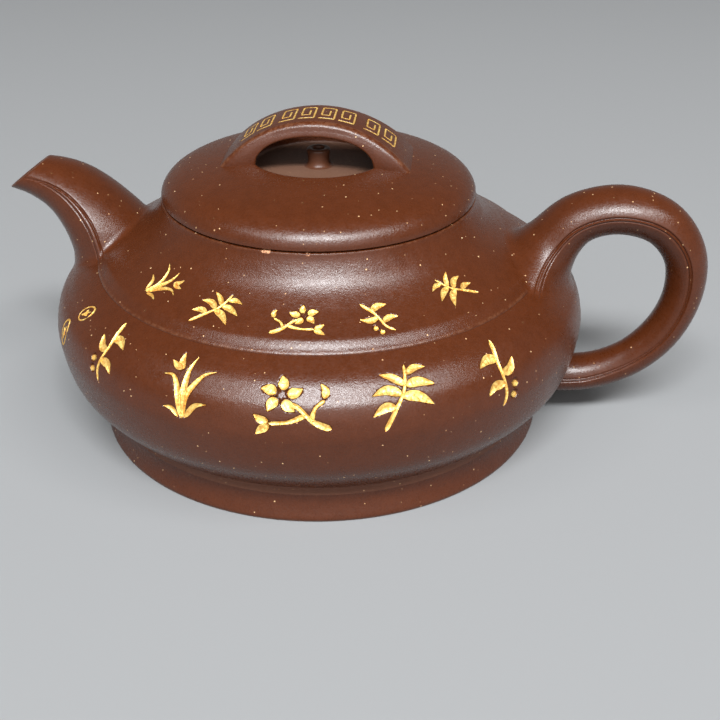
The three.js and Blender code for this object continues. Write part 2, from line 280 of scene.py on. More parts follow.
def make_piece(name, points, faces, body, slot, sharp=38, marks=None):
    """One named piece, which stands for the CAD node of that name if there is one.

    marks are numbers per point that its material reads."""
    placed = np.asarray(points, float).reshape(-1, 3) * MM
    placed[:, 0] += AXIS_X
    mesh = bpy.data.meshes.new(name)
    mesh.from_pydata(placed.tolist(), [], [list(map(int, f)) for f in faces])
    for label, values in (marks or {}).items():
        mesh.attributes.new(label, "FLOAT", "POINT").data.foreach_set(
            "value", np.asarray(values, np.float32).reshape(-1))
    shape = bmesh.new()
    shape.from_mesh(mesh)
    bmesh.ops.recalc_face_normals(shape, faces=shape.faces)
    shape.to_mesh(mesh)
    shape.free()
    mesh.shade_smooth()
    mesh.set_sharp_from_angle(angle=math.radians(sharp))
    mesh.materials.append(MATERIALS[slot])
    piece = bpy.data.objects.new(name, mesh)
    bpy.context.scene.collection.objects.link(piece)
    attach(piece, body)
    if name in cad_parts:
        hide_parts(name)


def round_columns(zones, fine, coarse, radius):
    """Angles round the axis, close together inside the zones, which are (middle, half width) in radians."""
    angles, here = [], -math.pi
    while here < math.pi - 1e-9:
        angles.append(here)
        gap = min(max(0.0, abs(here - middle) - half) for middle, half in zones)
        step = np.clip(fine + gap * radius * 0.5, fine, coarse) / radius
        here += step
        if math.pi - here < step * 0.5:
            break
    return np.array(angles)


def even_angles(count=288):
    return np.linspace(-math.pi, math.pi, count, endpoint=False)


def turned(outline, angles):
    """Points of a turned shape, one row for each point of its outline."""
    r, z = outline[:, 0, None], outline[:, 1, None]
    return np.stack([r * np.cos(angles), r * np.sin(angles), z + 0 * angles], -1)


def paced(curve, step, ends=0.12):
    """The curve with points step apart, and closer towards its two ends."""
    length = lengths(curve)[-1]
    marks, here = [0.0], 0.0
    while True:
        to_end = min(here, length - here)
        here += float(np.clip(ends + to_end * 0.45, ends, step))
        if here > length - ends * 0.6:
            break
        marks.append(here)
    return at_lengths(curve, np.array(marks + [length]))


def ring_piece(name, outline, body, slot, angles=None, marks=None):
    """A closed outline turned right round the axis. marks are per point of the outline, or of the piece."""
    angles = even_angles() if angles is None else angles
    full = np.ones((len(outline), len(angles)))
    spread = {k: full * (v if np.ndim(v) == 2 else np.reshape(v, (-1, 1))) for k, v in (marks or {}).items()}
    make_piece(name, turned(np.asarray(outline, float), angles), grid_faces(len(outline), len(angles), True),
               body, slot, marks=spread)


# ---- Materials ----


def srgb(r, g, b):
    return tuple(((v / 255 + 0.055) / 1.055) ** 2.4 if v > 10 else v / 255 / 12.92 for v in (r, g, b)) + (1,)


class Nodes:
    """A short way to write a material's nodes."""

    def __init__(self, name):
        self.material = bpy.data.materials.new(name)
        self.material.use_nodes = True
        self.tree = self.material.node_tree
        self.shader = self.tree.nodes["Principled BSDF"]
        self.place = self.tree.nodes.new("ShaderNodeTexCoord").outputs["Object"]

    def set(self, socket, value):
        if isinstance(value, bpy.types.NodeSocket):
            self.tree.links.new(value, socket)
        else:
            socket.default_value = value

    def node(self, kind, settings=None, **inputs):
        made = self.tree.nodes.new(kind)
        for key, value in (settings or {}).items():
            setattr(made, key, value)
        for key, value in inputs.items():
            self.set(made.inputs[int(key[1:]) if key[0] == "_" else key.replace("_", " ")], value)
        return made

    def noise(self, scale, detail=2.0, roughness=0.5):
        return self.node("ShaderNodeTexNoise", Vector=self.place, Scale=scale, Detail=detail,
                         Roughness=roughness).outputs["Fac"]

    def steps(self, value, low, high, out_low=0.0, out_high=1.0):
        return self.node("ShaderNodeMapRange", {"interpolation_type": "SMOOTHSTEP"}, Value=value,
                         _1=low, _2=high, _3=out_low, _4=out_high).outputs[0]

    def math(self, operation, a, b):
        return self.node("ShaderNodeMath", {"operation": operation}, _0=a, _1=b).outputs[0]

    def times(self, a, b):
        return self.math("MULTIPLY", a, b)

    def mix(self, factor, a, b):
        made = self.node("ShaderNodeMix", {"data_type": "RGBA"})
        for index, value in ((0, factor), (6, a), (7, b)):
            self.set(made.inputs[index], value)
        return made.outputs[2]

    def mark(self, name):
        return self.node("ShaderNodeAttribute", {"attribute_name": name}).outputs["Fac"]

    def bump(self, height, distance, strength=1.0, normal=None):
        made = self.node("ShaderNodeBump", Strength=strength, Distance=distance, Height=height)
        if normal:
            self.set(made.inputs["Normal"], normal)
        return made.outputs[0]

    def specks(self, scale, share, low, high):
        """Scattered grains: a round dot in some of the cells of a Voronoi pattern."""
        cell = self.node("ShaderNodeTexVoronoi", Vector=self.place, Scale=scale)
        parts = self.node("ShaderNodeSeparateColor", Color=cell.outputs["Color"])
        size = self.steps(parts.outputs[1], 0.0, 1.0, low, high)
        dot = self.math("LESS_THAN", cell.outputs["Distance"], size)
        chosen = self.math("LESS_THAN", parts.outputs[0], share)
        return self.times(dot, chosen), parts.outputs[2]


def clay_material(name, dark, mid, light, gloss, grain):
    """Fired clay: blotches, mottling, sand grains that show on the surface, and edges rubbed pale."""
    n = Nodes(name)
    broad = n.steps(n.noise(38, 3.0), 0.32, 0.68)
    mottle = n.steps(n.noise(420, 4.0, 0.6), 0.3, 0.7)
    fine = n.noise(2600, 3.0, 0.65)
    colour = n.mix(n.times(broad, 0.3), mid, dark)
    colour = n.mix(n.times(mottle, 0.2), colour, light)
    colour = n.mix(n.steps(fine, 0.35, 0.8, 0.0, 0.22), colour, light)
    dots, tint = n.specks(700, 0.55, 0.035, 0.12)
    colour = n.mix(n.times(dots, 0.85), colour, n.mix(tint, srgb(160, 112, 78), srgb(236, 196, 146)))
    rare, tint = n.specks(160, 0.3, 0.015, 0.035)
    colour = n.mix(n.times(rare, 0.9), colour, n.mix(tint, srgb(224, 180, 120), srgb(240, 214, 170)))
    pits, _ = n.specks(300, 0.03, 0.02, 0.05)
    colour = n.mix(n.times(pits, 0.6), colour, srgb(40, 20, 12))
    worn = n.times(n.mark("wear"), n.steps(n.noise(900, 3.0, 0.7), 0.42, 0.6))
    colour = n.mix(n.times(worn, 0.8), colour, srgb(196, 142, 106))
    # Where marked, a paler dusty colour and more roughness. On the insides, the foot and the spout's channel
    # this is real unpolished dust. On the lid's pit floor the paler colour is also painted sheen, standing in
    # for light reflected there.
    dust_and_sheen = n.mark("matte")
    colour = n.mix(n.times(dust_and_sheen, 0.8), colour, srgb(102, 73, 57))
    n.set(n.shader.inputs["Base Color"], colour)
    rough = n.steps(n.noise(1500, 3.0, 0.6), 0.25, 0.75, gloss - 0.05, gloss + 0.07)
    rough = n.math("ADD", rough, n.times(dust_and_sheen, 0.3))
    n.set(n.shader.inputs["Roughness"], n.math("ADD", rough, n.times(mottle, 0.03)))
    n.set(n.shader.inputs["IOR"], 1.5)
    n.set(n.shader.inputs["Specular IOR Level"], 0.43)
    skin = n.math("ADD", fine, n.times(n.noise(700, 3.0, 0.55), 0.9))
    normal = n.bump(skin, grain * MM)
    normal = n.bump(n.noise(75, 2.0), 0.12 * MM, 0.5, normal)
    normal = n.bump(n.math("SUBTRACT", dots, pits), 0.02 * MM, 1.0, normal)
    n.set(n.shader.inputs["Normal"], normal)
    return n.material


def gilding_material():
    """Gold paint brushed into cut strokes: bright where it lies thick, orange where it is thin."""
    n = Nodes("gilding_paint")
    thick = n.steps(n.noise(1300, 4.0, 0.65), 0.35, 0.62)
    broad = n.steps(n.noise(260, 2.0), 0.35, 0.65)
    colour = n.mix(thick, srgb(206, 150, 66), srgb(255, 222, 132))
    colour = n.mix(n.times(broad, 0.4), colour, srgb(226, 168, 84))
    n.set(n.shader.inputs["Base Color"], colour)
    n.set(n.shader.inputs["Metallic"], 0.62)
    n.set(n.shader.inputs["Roughness"], n.steps(n.noise(1800, 3.0), 0.3, 0.7, 0.34, 0.52))
    n.set(n.shader.inputs["Normal"], n.bump(n.noise(1700, 4.0, 0.7), 0.11 * MM))
    return n.material


MATERIALS = {
    "clay": clay_material("polished_clay", srgb(60, 26, 9), srgb(69, 31, 11), srgb(89, 43, 19), 0.27, 0.048),
    "raw_clay": clay_material("unpolished_clay", srgb(78, 42, 26), srgb(94, 54, 35), srgb(116, 74, 52), 0.6,
                              0.055),
    "gilding": gilding_material(),
}

# ---- Turned walls ----


def wall_inside(outline, low, high):
    """The outline moved in by the wall's thickness, between two heights, from the top down."""
    moved = outline + left_of(directions(outline)) * WALL
    keep = moved[(moved[:, 1] > low) & (moved[:, 1] < high)]
    return keep[::-1][::max(1, len(keep) // 36)]


def near_mark(outline, spot, reach):
    """1 at the given place of an outline, falling to 0 within reach."""
    return 1 - smoothstep(np.linalg.norm(outline - spot, axis=1), reach * 0.3, reach)


def build_foot():
    outside = paced(foot_outside, 0.6)
    outline = np.vstack([outside, [(FOOT_INNER - 0.8, SLAB_BOTTOM)],
                         paced(np.array([(FOOT_INNER - 0.75, 5.4), (FOOT_INNER, 0.5)]), 0.8),
                         bent_corner((FOOT_INNER, 0.5), (FOOT_INNER, 0), (FOOT_INNER + 0.5, 0), 5)[1:],
                         [(48.6, 0.0)]])
    matte = np.where((outline[:, 1] < 0.2) | (outline[:, 0] < 48), 0.7, 0.0)
    ring_piece("foot_ring", outline, "pot", "clay", marks={"matte": matte})


def build_slab():
    low = [(r, SLAB_BOTTOM) for r in (4.0, 20.0, FOOT_INNER - 1.4)]
    rings = np.vstack([low, paced(slab_outside, 0.5), [(r, SLAB_TOP) for r in (WAIST - WALL, 20.0, 4.0)]])
    points = turned(rings, even_angles())
    make_piece("base_slab", points, capped_faces(*points.shape[:2]), "pot", "raw_clay")


class Skin:
    """The outside of a turned wall, read by the angle round it and the length up its outline."""

    def __init__(self, outline):
        self.outline, self.run = outline, lengths(outline)
        along = np.gradient(outline, self.run, axis=0)
        self.normal = -left_of(along / np.linalg.norm(along, axis=1)[:, None])

    def at(self, angle, run, height):
        r, z = (np.interp(run, self.run, self.outline[:, k]) for k in range(2))
        nr, nz = (np.interp(run, self.run, self.normal[:, k]) for k in range(2))
        size = np.hypot(nr, nz)
        r, z = r + nr / size * height, z + nz / size * height
        return np.stack([r * np.cos(angle), r * np.sin(angle), z], -1)

    def radius(self, run):
        return np.interp(run, self.run, self.outline[:, 0])

    def run_at_height(self, z):
        return float(np.interp(z, self.outline[:, 1], self.run))


# ---- Gilded sprigs ----
# Each stroke is (half width, points, whether it is a leaf, pointed at both ends, or an even twig).


def leaf(half, *points):
    return half, points, True


def twig(half, *points):
    return half, points, False


def plum_petals():
    middle = np.array([0.28, 0.3])
    petals = []
    for a in np.radians(90 + 72 * np.arange(5)):
        along = np.array([math.cos(a), math.sin(a)])
        side = left_of(along) * 0.05
        petals.append(leaf(0.135, middle + along * 0.16, middle + along * 0.36 + side, middle + along * 0.6))
    return petals


# The strokes of each motif, in a square from -1 to 1. The oval is three small leaves in a ring.
OVAL_RING = [(0.62 * math.cos(a), 0.95 * math.sin(a)) for a in np.linspace(0.3, 0.3 + 2 * math.pi, 17)]
SPRIGS = {
    "bamboo": [
        twig(0.055, (-0.75, -0.95), (-0.35, -0.35), (0.05, 0.2), (0.3, 0.95)),
        leaf(0.12, (-0.32, -0.3), (-0.62, -0.22), (-1.0, -0.42)),
        leaf(0.13, (-0.05, 0.05), (-0.45, 0.28), (-0.9, 0.2)),
        leaf(0.11, (0.12, 0.3), (-0.2, 0.62), (-0.55, 0.8)),
        leaf(0.14, (-0.1, 0.0), (0.35, -0.12), (0.75, -0.5)),
        leaf(0.13, (0.1, 0.28), (0.5, 0.3), (0.98, 0.08)),
        leaf(0.1, (0.25, 0.62), (0.55, 0.75), (0.9, 0.68))],
    "orchid": [
        leaf(0.085, (-0.2, -0.9), (-0.15, -0.2), (-0.5, 0.5), (-0.95, 0.75)),
        leaf(0.1, (-0.15, -0.9), (0.0, -0.1), (0.1, 0.5), (0.02, 1.0)),
        leaf(0.09, (-0.1, -0.9), (0.2, -0.2), (0.6, 0.2), (1.0, 0.15)),
        leaf(0.08, (-0.25, -0.85), (-0.55, -0.4), (-0.95, -0.25)),
        leaf(0.1, (0.35, 0.5), (0.55, 0.7), (0.62, 0.98)),
        leaf(0.1, (0.38, 0.5), (0.66, 0.52), (0.92, 0.62)),
        leaf(0.07, (0.0, -0.9), (0.3, -0.72), (0.62, -0.75))],
    "plum": plum_petals() + [
        twig(0.075, (-1.0, -0.75), (-0.55, -0.5), (-0.2, -0.1), (0.05, 0.05)),
        twig(0.055, (-0.5, -0.48), (-0.62, -0.1), (-0.88, 0.12)),
        twig(0.06, (-0.35, -0.3), (0.1, -0.5), (0.6, -0.55)),
        leaf(0.11, (0.6, -0.6), (0.78, -0.72), (0.96, -0.9)),
        leaf(0.1, (0.62, -0.5), (0.82, -0.44), (1.0, -0.3)),
        leaf(0.1, (-0.86, 0.18), (-0.92, 0.4), (-0.8, 0.62))],
    "berries": [
        twig(0.06, (-0.5, 0.9), (-0.1, 0.2), (0.05, -0.6), (0.3, -0.95)),
        leaf(0.14, (-0.2, 0.35), (0.15, 0.55), (0.6, 0.5)),
        leaf(0.13, (-0.05, 0.0), (-0.4, -0.1), (-0.8, 0.1)),
        leaf(0.13, (0.02, -0.35), (0.4, -0.2), (0.75, -0.32)),
        leaf(0.12, (-0.45, -0.5), (-0.36, -0.56), (-0.28, -0.52)),
        leaf(0.12, (-0.3, -0.8), (-0.2, -0.84), (-0.12, -0.8))],
    "oval": [
        twig(0.075, *OVAL_RING),
        leaf(0.13, (-0.05, -0.6), (0.0, 0.0), (0.08, 0.55)),
        leaf(0.09, (-0.3, 0.2), (-0.1, 0.0), (0.0, -0.3)),
        leaf(0.09, (0.32, 0.1), (0.15, -0.08), (0.02, -0.35))],
}


def stroke_lines(kind, width, height, turn, flip):
    """Each stroke as its centre points and half widths in millimetres, placed and turned."""
    made = []
    for half, points, is_leaf in SPRIGS[kind]:
        line = resampled(spline(points, 40), 41)
        c, s = math.cos(turn), math.sin(turn)
        x, y = line[:, 0] * flip, line[:, 1]
        line = np.stack([(x * c - y * s) * width / 2, (x * s + y * c) * height / 2], -1)
        count = max(5, int(lengths(line)[-1] / 0.22))
        line = resampled(line, count)
        u = np.linspace(0, 1, count)
        scale = half * (width + height) / 4 * 1.15
        if is_leaf:
            profile = np.sin(math.pi * u**0.8) ** 0.75 * (1.12 - 0.3 * u)
        else:
            profile = 0.82 + 0.18 * np.cos(math.pi * u) + 0.1 * np.sin(9 * u)
        profile = profile * np.minimum(1, np.minimum(u, 1 - u) * 14 + 0.18)
        made.append((line, np.maximum(scale * profile, 0.07)))
    return made


def stroke_depth(points, strokes):
    """How far inside the nearest stroke each (across, up) point lies: negative outside."""
    inside = np.full(len(points), -9.0)
    for line, half in strokes:
        a, b = line[:-1], line[1:]
        ab = b - a
        w = np.clip(((points[:, None] - a) * ab).sum(-1) / np.maximum((ab**2).sum(1), 1e-9), 0, 1)
        gap = np.linalg.norm(points[:, None] - (a + w[..., None] * ab), axis=-1)
        inside = np.maximum(inside, (half[:-1] + w * np.diff(half) - gap).max(1))
    return inside


def ribbons(motifs, place):
    """Closed gold ribbons lying in their cuts. place(motif, across, up, height) gives a point."""
    across = np.array([-1.0, -0.72, -0.36, 0.0, 0.36, 0.72, 1.0])
    points, faces = [], []
    for motif in motifs:
        for number, (line, half) in enumerate(motif["strokes"]):
            side = left_of(directions(line))
            run = lengths(line)[:, None]
            wobble = 0.03 * np.sin(run * 7 + number) + 0.02 * np.sin(run * 17 + 2 * number)
            sag = np.minimum(0.55 * half, 0.27)[:, None]
            top = -0.015 - sag * (1 - np.abs(across)**1.6) + wobble * (1 - across**2)
            under = np.repeat([[-CUT_DEPTH - 0.12]], len(line), 0)
            lift = np.hstack([top, under, under])
            offset = np.hstack([across * half[:, None], 0.9 * half[:, None], -0.9 * half[:, None]])
            spot = line[:, None] + side[:, None] * offset[..., None]
            ring = place(motif, spot[..., 0], spot[..., 1], lift)
            faces += capped_faces(*ring.shape[:2], sum(len(p) for p in points))
            points.append(ring.reshape(-1, 3))
    return np.vstack(points), faces


def wall_motifs(skin, rows):
    """Motifs laid out on a turned wall: (degrees round, height, kind, width, height, turn, flip)."""
    made = []
    for around, z, kind, wide, high, turn, flip in rows:
        run = skin.run_at_height(z)
        made.append({"angle": math.radians(around), "run": run, "radius": float(skin.radius(run)),
                     "reach": max(wide, high) * 0.75,
                     "strokes": stroke_lines(kind, wide, high, math.radians(turn), flip)})
    return made


def build_wall(name, outside, inside, rows, wear, step):
    """A turned wall whose outside is cut along the motifs' strokes, with the gold that lies in the cuts."""
    skin = Skin(outside)
    motifs = wall_motifs(skin, rows)
    zones = [(m["angle"], m["reach"] / m["radius"]) for m in motifs]
    angles = round_columns(zones, 0.2, 2.4, 52.0)
    runs, here = [0.0], 0.0
    length = skin.run[-1]
    lows, highs = zip(*[(m["run"] - m["reach"], m["run"] + m["reach"]) for m in motifs])
    low, high = min(lows), max(highs)
    while here < length:
        to_end = min(here, length - here)
        gap = max(0.0, low - here, here - high)
        here += float(np.clip(min(0.12 + 0.4 * to_end, 0.2 + 0.5 * gap), 0.1, step))
        runs.append(min(here, length))
    runs = np.unique(np.array(runs))
    run_grid, angle_grid = np.meshgrid(runs, angles, indexing="ij")
    depth = np.zeros(run_grid.shape)
    for m in motifs:
        turn = (angle_grid - m["angle"] + math.pi) % (2 * math.pi) - math.pi
        x, y = turn * m["radius"], run_grid - m["run"]
        near = (np.abs(x) < m["reach"]) & (np.abs(y) < m["reach"])
        inside_by = stroke_depth(np.stack([x[near], y[near]], -1), m["strokes"])
        depth[near] = np.maximum(depth[near], CUT_DEPTH * smoothstep(inside_by, -0.04, 0.1))
    points = np.concatenate([skin.at(angle_grid, run_grid, -depth), turned(inside, angles)])
    marks = {"wear": np.r_[np.interp(runs, skin.run, wear), np.zeros(len(inside))],
             "matte": np.r_[np.zeros(len(runs)), np.full(len(inside), 0.8)]}
    make_piece(name, points, grid_faces(len(points), len(angles), True), "pot", "clay",
               marks={k: np.repeat(v[:, None], len(angles), 1) for k, v in marks.items()})

    def place(m, x, y, h):
        return skin.at(m["angle"] + x / m["radius"], m["run"] + y, h)

    gold, faces = ribbons(motifs, place)
    make_piece("gilding_" + name, gold, faces, "pot", "gilding", sharp=50)


SHOULDER_MOTIFS = [(-129.5, 43.5, "orchid", 9.4, 8.2, -24, 1), (-108.5, 42.8, "bamboo", 9.6, 9.0, -8, 1),
                   (-86.7, 42.8, "plum", 10.2, 7.6, 4, 1), (-65.8, 42.8, "berries", 9.4, 8.2, 12, 1),
                   (-41.3, 43.6, "bamboo", 9.0, 9.0, 22, -1)]
BELLY_MOTIFS = [(-129.5, 33.4, "berries", 10.5, 13.5, -20, 1), (-107.7, 32.8, "orchid", 11.0, 13.2, -6, -1),
                (-86.3, 32.4, "plum", 14.2, 12.8, 2, -1), (-64.9, 32.8, "bamboo", 13.6, 12.6, 6, 1),
                (-43.5, 32.0, "berries", 12.0, 14.0, 14, -1), (-144.0, 35.4, "oval", 5.0, 5.0, -40, 1),
                (-148.5, 29.8, "oval", 5.2, 6.6, -16, 1)]

belly_inside = np.vstack([[(LEDGE_RADIUS - WALL, LEDGE)], [(LEDGE_RADIUS - WALL, LEDGE - WALL + 0.4)],
                          wall_inside(belly_curve, SLAB_TOP + 0.9, LEDGE - WALL), [(WAIST - WALL, SLAB_TOP)]])
shoulder_inside = np.vstack([[(MOUTH + 1.5, NECK)], wall_inside(spline(SHOULDER, 200), LEDGE + 1, NECK - 1.5),
                             [(LEDGE_RADIUS - WALL, LEDGE)]])
build_foot()
build_slab()
build_wall("belly_wall", belly_outside, belly_inside, BELLY_MOTIFS, np.zeros(len(belly_outside)), 0.9)
build_wall("shoulder", shoulder_outside, shoulder_inside, SHOULDER_MOTIFS,
           0.08 * near_mark(shoulder_outside, (49.5, 38.7), 0.5), 0.8)


def build_mouth():
    """The mouth ring, with two small chips in its edge: (degrees round, half width in radians)."""
    chips = [(-98.5, 0.02), (-84.4, 0.011)]
    edge = bent_corner(neck_outside[-1], (34.57, RIM), (RIM_RADIUS, RIM), 6)
    inside_edge = bent_corner((MOUTH + 0.5, RIM), (MOUTH, RIM), (MOUTH, RIM - 0.5), 6)
    outline = np.vstack([paced(neck_outside, 0.4), edge[1:], [(32.4, RIM)], inside_edge,
                         [(MOUTH, 51.4), (MOUTH, NECK)]])
    angles = round_columns([(math.radians(a), 0.03) for a, _ in chips], 0.15, 0.75, 34.0)
    chipped = sum(7.0 * np.exp(-((angles - math.radians(a)) / half) ** 4) for a, half in chips)
    worn = near_mark(outline, (34.5, 52.62), 0.42)[:, None] * (0.06 + chipped)[None]
    ring_piece("mouth_ring", outline, "pot", "clay", angles, {"wear": worn})


build_mouth()

# ---- Spout and handle ----


def seam_shape(x, gap, cut, keel, above, below):
    """Two fine cuts either side of a low ridge, across the line that they follow. The bar swells along
    the line, and the swelling dies away within the two distances."""
    deep = 0.4 * np.exp(-((x - gap) / 0.24) ** 2)
    shallow = 0.24 * np.exp(-((x + gap) / 0.2) ** 2)
    ridge = 0.1 * np.exp(-(x / np.maximum(gap * 0.7, 0.1)) ** 2)
    away = np.clip(1 - np.abs(x) / np.where(x > 0, above, below), 0, 1)
    step = 0.12 * smoothstep(x - gap, -0.2, 0.5) * away
    return cut * (ridge - deep - shallow + step) + keel * away**2


def tube_columns(line_angle, size, plain=12, fine=41, reach=2.4):
    """Angles of the columns round half a tube, from 0 to -180 degrees, close together at the line."""
    x = np.linspace(-1, 1, fine)
    x = reach * (0.55 * x + 0.45 * x**3)
    near = line_angle[:, None] - x[None] / size[:, None]
    u = np.linspace(0, 1, plain, endpoint=False)[1:]
    head = near[:, :1] * np.r_[0, u]
    tail = near[:, -1:] + (-math.pi - near[:, -1:]) * np.r_[u, 1.0]
    return np.concatenate([head, near, tail], 1)


def tube_surface(line, depth, width, t, angle):
    """Points and outward normals of a bent oval bar."""
    centre, across = line.at(t), left_of(line.tangent(t))
    d, w = depth(t), width(t)
    x, y = d * np.cos(angle), w * np.sin(angle)
    point = np.stack([centre[..., 0] + across[..., 0] * x, y, centre[..., 1] + across[..., 1] * x], -1)
    nx, ny = np.cos(angle) / d, np.sin(angle) / w
    normal = np.stack([across[..., 0] * nx, ny, across[..., 1] * nx], -1)
    return point, normal / np.linalg.norm(normal, axis=-1, keepdims=True)


def both_sides(half):
    """A whole bar from the half on the camera's side."""
    return np.concatenate([half, half[:, 1:-1][:, ::-1] * (1, -1, 1)], 1)


def tube_sheet(line, depth, width, seam, gap, cut, t, swell, flare=None):
    """The whole bar as rows along t: its points, with both sides' incised lines worked in.

    swell is (heights along t, reach above, reach below, side) of the swelling: side 1 is towards angle 0."""
    seam_t, gap_t, cut_t = np.radians(seam(t)), gap(t), cut(t)
    half = tube_columns(seam_t, width(t))
    grid_t = np.repeat(t[:, None], half.shape[1], 1)
    point, normal = tube_surface(line, depth, width, grid_t, half)
    offset = (half - seam_t[:, None]) * width(t)[:, None]
    keel, above, below, side = swell
    lift = seam_shape(offset * side, gap_t[:, None], cut_t[:, None], keel(t)[:, None], above, below)
    if flare is not None:
        lift = lift + flare(grid_t, half - seam_t[:, None])
    return both_sides(point + normal * lift[..., None])


def root_rows(columns, sink, radius, count=7):
    """For columns that start inside the pot, rows that leave its surface in a small fillet.

    Returns the fillet's rows, and for each column the index of the first of its own points clear of it."""
    gap, _, _ = outline_distance(columns)
    rows = np.arange(len(columns))[:, None]
    inside = np.where((gap <= 0) & (rows < len(columns) // 2), rows, -1).max(0)
    first = np.clip(inside + 1, 1, len(columns) - 1)
    pick = np.arange(columns.shape[1])
    g0, g1 = gap[first - 1, pick], gap[first, pick]
    w = np.clip(-g0 / np.maximum(g1 - g0, 1e-9), 0, 1)[:, None]
    cross = columns[first - 1, pick] * (1 - w) + columns[first, pick] * w
    step = np.linalg.norm(np.diff(columns, axis=0), axis=-1)
    clear = first.copy()
    run = np.linalg.norm(columns[first, pick] - cross, axis=1)
    for _ in range(60):
        short = (run < radius) & (clear < len(columns) - 1)
        run = np.where(short, run + step[np.minimum(clear, len(step) - 1), pick], run)
        clear = np.where(short, clear + 1, clear)
    start = columns[clear, pick]
    centre = cross.mean(0)
    _, _, normal = outline_distance(cross)
    away = cross - centre
    away = away - (away * normal).sum(1)[:, None] * normal
    away /= np.maximum(np.linalg.norm(away, axis=1), 1e-9)[:, None]
    _, landing, flat = outline_distance(cross + away * radius * 0.9)
    curve = quadratic(landing, cross, start, np.linspace(0, 1, count)[:, None, None])
    under = landing - flat * sink + away * 0.1
    deeper = landing - flat * (sink + 0.6) - away * 0.6
    return np.concatenate([[deeper], [under], curve]), clear


def even_rows(columns, first, last, count):
    """Each column from its own point first to its own point last, in count even steps."""
    run = np.concatenate([np.zeros((1, columns.shape[1])),
                          np.cumsum(np.linalg.norm(np.diff(columns, axis=0), axis=-1), 0)])
    rows = np.empty((count, columns.shape[1], 3))
    for c in range(columns.shape[1]):
        wanted = np.linspace(run[first[c], c], run[last[c], c], count)
        for k in range(3):
            rows[:, c, k] = np.interp(wanted, run[:, c], columns[:, c, k])
    return rows


def build_handle():
    line = Centreline(HANDLE_LINE)
    depth, width = track(HANDLE_DEPTH), track(HANDLE_WIDTH)
    seam, gap, cut = track(HANDLE_SEAM), track(HANDLE_SEAM_GAP), track(HANDLE_SEAM_CUT)
    t = np.linspace(0, 1, 360)

    def flare(t, turn):
        reach = 1 - smoothstep(t, 0.0, 0.15)
        inner = 8.0 * reach**1.6 * np.exp(-((turn + math.pi / 2) / 0.85) ** 2)
        return 6.5 * reach**1.6 * np.exp(-(turn / 0.62) ** 2) + inner

    sheet = tube_sheet(line, depth, width, seam, gap, cut, t, (track(HANDLE_KEEL), 8.0, 5.0, 1), flare)
    top, first = root_rows(sheet, ROOT_SINK, HANDLE_FILLET)
    bottom, last = root_rows(sheet[::-1], ROOT_SINK, HANDLE_FILLET_LOW)
    middle = even_rows(sheet, first, len(sheet) - 1 - last, 170)
    points = np.concatenate([top, middle[1:-1], bottom[::-1]])
    make_piece("handle", points, capped_faces(*points.shape[:2]), "pot", "clay", sharp=60)


def lip_crossing(columns):
    """Where each column along the spout meets the plane of its mouth, and the point before that."""
    way = np.subtract(UPPER_LIP, LOWER_LIP)
    way /= np.linalg.norm(way)
    side = (columns - (LOWER_LIP[0], 0, LOWER_LIP[1])) @ np.array([-way[1], 0, way[0]])
    first = np.argmax(side > 0, axis=0)
    pick = np.arange(columns.shape[1])
    s0, s1 = side[first - 1, pick], side[first, pick]
    w = (-s0 / (s1 - s0))[:, None]
    return columns[first - 1, pick] * (1 - w) + columns[first, pick] * w, first - 1


def shortened(columns, last, by):
    """The place of each column's last point once the column is that much shorter."""
    run = np.linalg.norm(np.diff(columns, axis=0), axis=-1)
    pick = np.arange(columns.shape[1])
    left = by.copy()
    for _ in range(30):
        go = (left > 0) & (last > 5)
        left = np.where(go, left - run[np.maximum(last - 1, 0), pick], left)
        last = np.where(go, last - 1, last)
    return last


def build_spout():
    line = Centreline(SPOUT_LINE)
    t = np.linspace(0, 1, 300)
    width, seam = track(SPOUT_WIDTH), track(SPOUT_SEAM)
    outer = tube_sheet(line, track(SPOUT_DEPTH), width, seam, track(SPOUT_SEAM_GAP), track(SPOUT_SEAM_CUT), t,
                       (track(SPOUT_KEEL), 9.0, 5.0, -1))
    half = tube_columns(np.radians(seam(t)), width(t))
    grid_t = np.repeat(t[:, None], half.shape[1], 1)
    inner = both_sides(tube_surface(line, track(CHANNEL_DEPTH), track(CHANNEL_WIDTH), grid_t, half)[0])
    outer_lip, outer_last = lip_crossing(outer)
    inner_lip, inner_last = lip_crossing(inner)
    edge = np.minimum(np.linalg.norm(outer_lip - inner_lip, axis=1) * 0.5, 0.45)
    outer_end, inner_end = shortened(outer, outer_last, edge), shortened(inner, inner_last, edge)
    root, first = root_rows(outer, ROOT_SINK, SPOUT_FILLET)
    body = even_rows(outer, first, outer_end, 110)
    pick = np.arange(outer.shape[1])
    middle = outer_lip * 0.55 + inner_lip * 0.45
    u = np.linspace(0, 1, 7)[:, None, None]
    rim = quadratic(outer[outer_end, pick], outer_lip, middle, u)
    rim_in = quadratic(middle, inner_lip, inner[inner_end, pick], u)
    inner_first = np.argmax(outline_distance(inner)[0] > -0.9, axis=0)
    channel = even_rows(inner, inner_first, inner_end, 60)[::-1]
    points = np.concatenate([root, body[1:], rim[1:], rim_in[1:], channel[1:]])
    wear, matte = np.zeros(points.shape[:2]), np.zeros(points.shape[:2])
    lip_row = len(root) + len(body)
    wear[lip_row:lip_row + 4] = 0.1
    matte[-len(channel) + 1:] = 0.7
    make_piece("spout", points, grid_faces(*points.shape[:2], True), "pot", "clay", sharp=60,
               marks={"wear": wear, "matte": matte})


build_handle()
build_spout()

# ---- The lid ----


